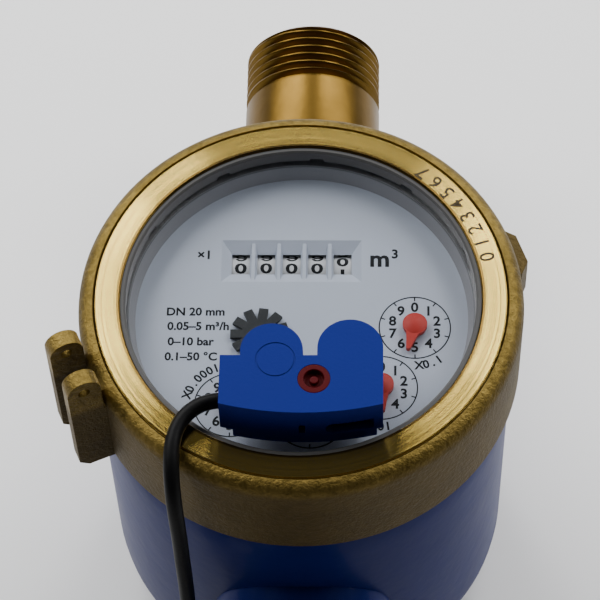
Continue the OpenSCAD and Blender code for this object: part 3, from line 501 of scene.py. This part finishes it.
def smoothLine(points, spacing, between=24):
    # Catmull-Rom curve through the points, then even steps along it
    p = np.asarray(points, float)
    p = np.vstack([2 * p[0] - p[1], p, 2 * p[-1] - p[-2]])
    t = np.linspace(0, 1, between, endpoint=False)[:, None]
    a, b, c, d = (p[i:len(p) - 3 + i, None] for i in range(4))
    line = 0.5 * (2 * b + (c - a) * t + (2 * a - 5 * b + 4 * c - d) * t ** 2 + (3 * b - a - 3 * c + d) * t ** 3)
    line = np.vstack([line.reshape(-1, 3), p[-2]])
    run = np.concatenate([[0], np.cumsum(np.linalg.norm(np.diff(line, axis=0), axis=1))])
    even = np.linspace(0, run[-1], int(run[-1] / spacing) + 1)
    return np.stack([np.interp(even, run, line[:, i]) for i in range(3)], 1)


def coilLine(s):
    # Turns run clockwise: three side by side from the outside in, three back out on top, then two in again;
    # each moves to the next place over the last part of its turn, and the end climbs onto the top
    r, h = s["rings"], s["d"] / 2
    places = [(r[0], h), (r[1], h), (r[2], h), (r[2], 3 * h), (r[1], 3 * h), (r[0], 3 * h),
              (r[0], 5 * h), (r[1], 5 * h), (r[1], 7 * h)]
    angle = np.arange(s["coilStart"], s["coilStart"] - 360 * s["coilTurns"], -s["coilStep"])
    turns = (s["coilStart"] - angle) / 360
    last = len(places) - 2
    whole = np.minimum(turns.astype(int), last)
    shift, climb = (np.clip((turns - whole - start) / way, 0, 1) for start, way in (s["shift"], s["climb"]))
    blend = np.where(whole == last, climb, shift)
    blend = (blend * blend * (3 - 2 * blend))[:, None]
    place = np.array(places)
    now = place[whole] * (1 - blend) + place[whole + 1] * blend
    a, (x, y) = np.radians(angle), s["coilAt"]
    return np.stack([x + now[:, 0] * np.cos(a), y + now[:, 0] * np.sin(a), now[:, 1]], 1)


def tube(line, radius, sides, across=(0.5, -0.6, 0.62)):
    # Rings of points square to the line, with closed ends; across is a way that the line never runs
    line = np.asarray(line, float)
    along = np.gradient(line, axis=0)
    along /= np.linalg.norm(along, axis=1)[:, None]
    side = np.cross(along, across)
    side /= np.linalg.norm(side, axis=1)[:, None]
    up = np.cross(along, side)
    a = np.linspace(0, 2 * np.pi, sides, endpoint=False)[None, :, None]
    rings = line[:, None] + radius * (np.cos(a) * side[:, None] + np.sin(a) * up[:, None])
    return rings.reshape(-1, 3), closedFaces(len(line), sides)


cableLine = smoothLine(np.vstack([cable["route"], coilLine(cable)]), cable["spacing"])
cablePart = tube(cableLine, cable["d"] / 2, cable["sides"])
cablePiece = addPiece("cableLine", cablePart, finish["sheath"])
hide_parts("cable", "cable_coil")

tie = dict(angle=-60, width=2.6, thick=0.7, inner=13.3, outer=23.7, top=10.1, foot=0.1, bend=1.5, corner=0.5)


def tieStrap(s):
    # A flat strap carried over the coil from the ground inside it to the ground outside;
    # push is the way of its thickness at each point, the same on both sides
    inner, outer, top, foot = s["inner"], s["outer"], s["top"], s["foot"]
    bend, corner = s["bend"], s["corner"]
    path = np.array([[inner, foot], [inner, top - bend], [inner + corner, top - corner], [inner + bend, top],
                     [outer - bend, top], [outer - corner, top - corner], [outer, top - bend], [outer, foot]])
    half = np.array([[-1, 0], [-1, 0.1], [-0.7, 0.7], [-0.1, 1]])
    push = np.vstack([half, half[::-1] * [-1, 1]]) * s["thick"]
    a = math.radians(s["angle"])
    out, across = np.array([math.cos(a), math.sin(a)]), np.array([-math.sin(a), math.cos(a)])
    rows = []
    for lift, w in ((0, -1), (1, -1), (1, 1), (0, 1)):
        section = path + push * lift
        flat = section[:, :1] * out + across * w * s["width"] / 2 + cable["coilAt"]
        rows.append(np.column_stack([flat, section[:, 1]]))
    return np.stack(rows, 1).reshape(-1, 3), closedFaces(len(path), len(rows))


tiePiece = addPiece("coilTie", tieStrap(tie), finish["dark"])


# Body: the CAD casting with its two plain thread cylinders exchanged for cut threads

thread = dict(r=16.625, start=96.5, end=109.0, pitch=2.309, depth=1.35, height=38.0, around=96, steps=90,
              steep=1.3, crest=0.15, runOut=(0.9, 0.5), offWall=0.03, offEnd=0.05)


def threadSurface(s):
    # Radius falls from the crest by a softened triangle wave of the turn plus the way along,
    # fading out at both ends
    a = np.linspace(0, 2 * np.pi, s["around"], endpoint=False)[None, :]
    y = np.linspace(s["start"], s["end"], s["steps"])[:, None]
    wave = np.abs(2 * ((y / s["pitch"] - a / (2 * np.pi)) % 1.0) - 1)
    wave = np.clip(wave * s["steep"] - s["crest"], 0, 1)
    first, last = s["runOut"]
    fade = np.clip((y - s["start"]) / first, 0, 1) * np.clip((s["end"] - y) / last, 0, 1)
    r = s["r"] - s["depth"] * wave * fade
    grid = np.stack([r * np.cos(a), np.broadcast_to(y, r.shape), s["height"] + r * np.sin(a)], 2)
    return grid.reshape(-1, 3), gridFaces(s["steps"], s["around"], wrapColumns=True)


def threadedBody(s):
    mesh, shape = mergedCopy("body_casting")

    def plain(v):
        onWall = abs(math.hypot(v.co.x, v.co.z - s["height"] * mm) - s["r"] * mm) < s["offWall"] * mm
        return onWall and s["start"] - s["offEnd"] < abs(v.co.y) / mm < s["end"] + s["offEnd"]

    old = [f for f in shape.faces if all(plain(v) for v in f.verts)]
    bmesh.ops.delete(shape, geom=old, context="FACES")
    points, faces = threadSurface(s)
    points, faces = joinParts([(points, faces), (points * [-1, -1, 1], faces)])
    added = bpy.data.meshes.new("threads")
    added.from_pydata((points * mm).tolist(), [], faces)
    shape.from_mesh(added)
    bmesh.ops.recalc_face_normals(shape, faces=shape.faces)
    shape.to_mesh(mesh)
    shape.free()
    bpy.data.meshes.remove(added)
    piece = addMesh("threadedBody", mesh, finish["body"], "meter", 35)
    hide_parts("body_casting")
    print("threads: old faces taken out", len(old))


threadedBody(thread)


# Rounded edges on the CAD pieces that stand in front: a width, and how far from the register axis they start

softEdges = dict(pulse_housing=(0.7, 0), pulse_base=(0.4, 0), seal_plug=(0.25, 0),
                 head_ring=(1.0, head["ringR"] + 0.2))
edgeSet = dict(flat=1.0, sharp=50, segments=3, smoothNear=60, smoothFar=35)


def roundEdges(name, width, beyond, s):
    # Copy of a node with its triangles joined, flat faces dissolved and its sharp edges rounded
    mesh, shape = mergedCopy(name)

    def far(*verts):
        return all(math.hypot(v.co.x, v.co.y) >= beyond * mm for v in verts)

    bmesh.ops.dissolve_limit(shape, angle_limit=math.radians(s["flat"]),
                             verts=[v for v in shape.verts if far(v)],
                             edges=[e for e in shape.edges if far(*e.verts)])
    weight = shape.edges.layers.float.new("bevel_weight_edge")
    for e in shape.edges:
        sharp = len(e.link_faces) == 2 and e.calc_face_angle() > math.radians(s["sharp"])
        e[weight] = float(sharp and far(*e.verts))
    shape.to_mesh(mesh)
    shape.free()
    material = nodes[name].data.materials[0]
    smoothAngle = s["smoothFar"] if beyond else s["smoothNear"]
    piece = addMesh("soft_" + name, mesh, material, bodyOf[name], smoothAngle)
    edge = piece.modifiers.new("edge", "BEVEL")
    edge.width, edge.segments = width * mm, s["segments"]
    edge.limit_method, edge.harden_normals = "WEIGHT", True
    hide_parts(name)


for name, (width, beyond) in softEdges.items():
    roundEdges(name, width, beyond, edgeSet)
print("edges rounded:", len(softEdges))


# Dial: the five counter openings share one shallow recess with sloped ends

counterRecess = dict(depth=0.35, slotWide=3.9, slotLong=5.04, slope=1.875, endSlope=1.43, above=0.1,
                     overlap=0.02, smoothAngle=20)


def taperedBlock(low, high, z0, z1):
    # Closed block between two oblongs (x0, x1, y0, y1) at two heights
    corners = ((0, 2), (1, 2), (1, 3), (0, 3))
    points = [(r[i], r[j], z) for r, z in ((low, z0), (high, z1)) for i, j in corners]
    mesh = bpy.data.meshes.new("taperedBlock")
    mesh.from_pydata((np.array(points) * mm).tolist(), [], blockFaces)
    return mesh


def recessedDial(s):
    # The openings' own slopes are carried on: a wide shallow cut, and a deeper one at each end
    ends = sorted((rollerX[0], rollerX[-1]))
    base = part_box("dial_plate")[0].z / mm
    bottom, top = dialZ - s["depth"], dialZ + s["above"]

    def oblong(z, inner=None):
        half = s["slotLong"] / 2 + s["slope"] * (z - base)
        reach = s["slotWide"] / 2 + s["endSlope"] * (z - base)
        x = [ends[0] - reach, ends[1] + reach]
        if inner is not None:
            x[1 - inner] = ends[inner]
        return (*x, rowY - half, rowY + half)

    deepTop = bottom + s["overlap"]
    cuts = [taperedBlock(oblong(bottom), oblong(top), bottom, top)]
    cuts += [taperedBlock(oblong(base, k), oblong(deepTop, k), base, deepTop) for k in (0, 1)]
    mesh, shape = mergedCopy("dial_plate")
    shape.to_mesh(mesh)
    shape.free()
    blank, tools = show("blank", mesh), [show("cut", cut) for cut in cuts]
    for tool in tools:
        change = blank.modifiers.new("cut", "BOOLEAN")
        change.operation, change.solver, change.object = "DIFFERENCE", "EXACT", tool
    made = bpy.data.meshes.new_from_object(evaluated(blank))
    for done in tools + [blank]:
        bpy.data.objects.remove(done)
    piece = addMesh("dialFace", made, finish["dial"], "meter", s["smoothAngle"])
    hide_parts("dial_plate")


recessedDial(counterRecess)
print("counter recess cut")


# Print: text and lines as thin plates of ink

lettering = dict(bold=0.028, digitHigh=0.70, smoothAngle=20)  # at a text size of 1


def glyphs(text, height, thick, bold=lettering["bold"]):
    # The letters of a text as closed plates, centred, their digits that high
    curve = bpy.data.curves.new("glyphs", "FONT")
    curve.body, curve.size = text, 1.0
    curve.align_x, curve.align_y = "CENTER", "CENTER"
    curve.resolution_u, curve.extrude, curve.offset = 3, 0.5, bold
    lines = show("glyphs", curve)
    points, faces = meshParts(evaluated(lines).to_mesh())
    bpy.data.objects.remove(lines)
    bpy.data.curves.remove(curve)
    scale = height / lettering["digitHigh"]
    return np.column_stack([points[:, :2] * scale, (points[:, 2] + 0.5) * thick]), faces


def laid(part, at, turn=0.0, z=0.0):
    # A flat part turned and moved on a level face
    points, faces = part
    c, s = math.cos(math.radians(turn)), math.sin(math.radians(turn))
    x, y = points[:, 0] * c - points[:, 1] * s + at[0], points[:, 0] * s + points[:, 1] * c + at[1]
    return np.column_stack([x, y, points[:, 2] + z]), faces


def ringLine(at, radius, width, thick, z, around=72):
    # Closed band of square section round a point
    a = np.linspace(0, 2 * np.pi, around, endpoint=False)[:, None]
    r = radius + np.array([[-1, 1, 1, -1]]) * width / 2
    h = np.broadcast_to(z + np.array([[0, 0, 1, 1]]) * thick, (around, 4))
    grid = np.stack([at[0] + r * np.cos(a), at[1] + r * np.sin(a), h], 2)
    return grid.reshape(-1, 3), gridFaces(around, 4, wrapRows=True, wrapColumns=True)


def plate(size, at, turn, thick, z):
    # Thin oblong centred on a point
    w, h = size[0] / 2, size[1] / 2
    corners = np.array([[x, y, e] for e in (0, thick) for x, y in ((-w, -h), (w, -h), (w, h), (-w, h))])
    return laid((corners, blockFaces), at, turn, z)


def curved(text, height, thick, centre, radius, middle, inward, spacing, z, bold=lettering["bold"]):
    # Letters one by one on an arc; inward ones have their tops to the centre
    parts, step = [], spacing / radius * 180 / math.pi
    for i, letter in enumerate(text):
        away = (i - (len(text) - 1) / 2) * step
        a = middle + away if inward else middle - away
        at = (centre[0] + radius * math.cos(math.radians(a)), centre[1] + radius * math.sin(math.radians(a)))
        parts.append(laid(glyphs(letter, height, thick, bold), at, a + 90 if inward else a - 90, z))
    return parts


# Each scale has its pointer's body, its factor, where that stands round the scale and whether its tops are
# inwards; each line of words has its place and height
dialPrint = dict(thick=0.03, scaleR=7.55, line=0.27, digitR=4.95, digit=2.25, tick=0.95,
                 factorHigh=1.9, factorOut=1.8, factorStep=1.5,
                 scales=(("hand_4", "X0.1", -71, True), ("hand_3", "X0.01", -100, True),
                         ("hand_2", "X0.001", 90, False), ("hand_1", "X0.0001", 138, False)),
                 words=(("DN 20 mm", -22.6, 1.2, 1.9), ("0.05–5 m³/h", -21.9, -2.4, 1.9),
                        ("0–10 bar", -23.4, -6.2, 1.9), ("0.1–50 °C", -23.2, -9.9, 1.9),
                        ("m", 16.6, 14.6, 4.0), ("3", 19.9, 15.9, 2.2), ("×1", -21.2, 15.6, 2.1)))


def printDial(s):
    parts, thick = [], s["thick"]
    for body, factor, middle, inward in s["scales"]:
        centre = axisOf(body)
        parts.append(ringLine(centre, s["scaleR"], s["line"], thick, dialZ))
        for d in range(10):
            a = 90 - 36 * d
            out = np.array([math.cos(math.radians(a)), math.sin(math.radians(a))])
            parts.append(laid(glyphs(str(d), s["digit"], thick), centre + out * s["digitR"], 0, dialZ))
            middleOfTick = centre + out * (s["scaleR"] - s["tick"] / 2)
            parts.append(plate((s["tick"], s["line"]), middleOfTick, a, thick, dialZ))
        parts += curved(factor, s["factorHigh"], thick, centre, s["scaleR"] + s["factorOut"], middle, inward,
                        s["factorStep"], dialZ)
    for text, x, y, height in s["words"]:
        parts.append(laid(glyphs(text, height, thick), (x, y), 0, dialZ))
    addPiece("dialPrint", joinParts(parts), finish["ink"],
             smoothAngle=lettering["smoothAngle"])


printDial(dialPrint)

ringStamp = dict(text="01234567", radius=40.6, middle=32.0, height=3.2, spacing=3.7, thick=0.03, bold=0.008)


def stampRing(s):
    letters = curved(s["text"], s["height"], s["thick"], (0, 0), s["radius"], s["middle"], True,
                     s["spacing"], headZ, s["bold"])
    addPiece("ringStamp", joinParts(letters), finish["stamp"],
             smoothAngle=lettering["smoothAngle"])


stampRing(ringStamp)
print("dial and ring printed")

rollerPrint = dict(height=2.3, wide=1.6, thick=0.03, readings=(0.27, -0.275, -0.275, -0.26, -0.28), slices=9,
                   nineWide=0.27, nineLine=0.17, nineBowl=0.58, nineArcs=((-155, 88), (90, 362)), arcPoints=28)


def roundNine(s):
    # A flat stroke carried along one line: from a round foot up the right side, over the top and
    # round the bowl
    h, w = s["height"] * (1 - s["nineLine"]) / 2, s["height"] * s["nineWide"]
    a, b = (np.radians(np.linspace(*ends, s["arcPoints"])) for ends in s["nineArcs"])
    bowl = 1 - s["nineBowl"] + s["nineBowl"] * np.sin(b)
    path = np.concatenate([np.column_stack([w * np.cos(a), h * np.sin(a)]),
                           np.column_stack([w * np.cos(b), h * bowl])])
    along = np.gradient(path, axis=0)
    along /= np.linalg.norm(along, axis=1)[:, None]
    side = np.column_stack([-along[:, 1], along[:, 0]]) * s["height"] * s["nineLine"] / 2
    rows = [np.column_stack([path + side * way, np.full(len(path), z)])
            for way, z in ((-1, 0), (1, 0), (1, s["thick"]), (-1, s["thick"]))]
    return np.stack(rows, 1).reshape(-1, 3), closedFaces(len(path), len(rows))


def sliced(part, height, count, gap=1e-5):
    # Level cuts through the letters, so that they bend round a drum
    points, faces = part
    mesh = bpy.data.meshes.new("sliced")
    mesh.from_pydata(points.tolist(), [], faces)
    shape = bmesh.new()
    shape.from_mesh(mesh)
    bmesh.ops.remove_doubles(shape, verts=shape.verts, dist=gap)
    for level in np.linspace(-height / 2, height / 2, count):
        bmesh.ops.bisect_plane(shape, geom=shape.verts[:] + shape.edges[:] + shape.faces[:], dist=gap,
                               plane_co=(0, level, 0), plane_no=(0, 1, 0))
    shape.to_mesh(mesh)
    shape.free()
    cut = meshParts(mesh)
    bpy.data.meshes.remove(mesh)
    return cut


def printRollers(s):
    # A digit's height becomes an angle round the drum, its thickness a radius
    digits = [sliced(glyphs(str(d), s["height"], s["thick"]), s["height"], s["slices"]) for d in range(9)]
    digits.append(roundNine(s))
    for k, (middle, reading) in enumerate(zip(rollerX, s["readings"]), 1):
        parts = []
        for d, (points, faces) in enumerate(digits):
            r = rollerR + points[:, 2]
            a = math.radians((d - reading) * 36) - points[:, 1] / rollerR
            x = middle + points[:, 0] * s["wide"]
            parts.append((np.column_stack([x, rowY - r * np.sin(a), rollerZ + r * np.cos(a)]), faces))
        addPiece("rollerDigits%d" % k, joinParts(parts), finish["ink"], body="roller_%d" % k,
                 smoothAngle=lettering["smoothAngle"])


printRollers(rollerPrint)
print("rollers printed")


# Domed caps over the pointer hubs; the first one carries the magnet instead

pointerDome = dict(bodies=("hand_2", "hand_3", "hand_4"), r=2.55, rise=0.6, sink=0.05, collar=0.3, tip=0.04,
                   rings=7, around=36, smoothAngle=50)


def domeCap(s, centre, z):
    # Height falls from the rise at the middle with the square of the radius; the bottom is level
    r = s["r"] * np.linspace(1, s["tip"], s["rings"])[:, None]
    a = np.linspace(0, 2 * np.pi, s["around"], endpoint=False)[None, :]
    lift = z - s["sink"] + s["rise"] * (1 - (r / s["r"]) ** 2)
    x, y = centre[0] + r * np.cos(a), centre[1] + r * np.sin(a)
    grid = np.stack([x, y, np.broadcast_to(lift, x.shape)], 2)
    return grid.reshape(-1, 3), closedFaces(s["rings"], s["around"])


for body in pointerDome["bodies"]:
    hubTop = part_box("pointer_" + body[-1])[1].z / mm - pointerDome["collar"]
    addPiece("pointerDome" + body[-1], domeCap(pointerDome, axisOf(body), hubTop), finish["pointer"],
             body=body, smoothAngle=pointerDome["smoothAngle"])
print("pointer caps set")


# Ground

ground = dict(half=4, rough=0.75, tones=((0.90, 0.90, 0.90), (0.94, 0.94, 0.94)))


def makeFloor(s):
    p, h = Paint("paleFloor", Roughness=s["rough"]), s["half"]
    p.set(Base_Color=p.mix(p.noise(3, 2.0), *s["tones"]))
    mesh = bpy.data.meshes.new("floor")
    mesh.from_pydata([(-h, -h, 0), (h, -h, 0), (h, h, 0), (-h, h, 0)], [], [(0, 1, 2, 3)])
    mesh.materials.append(p.material)
    return show("floor", mesh)


floor = makeFloor(ground)
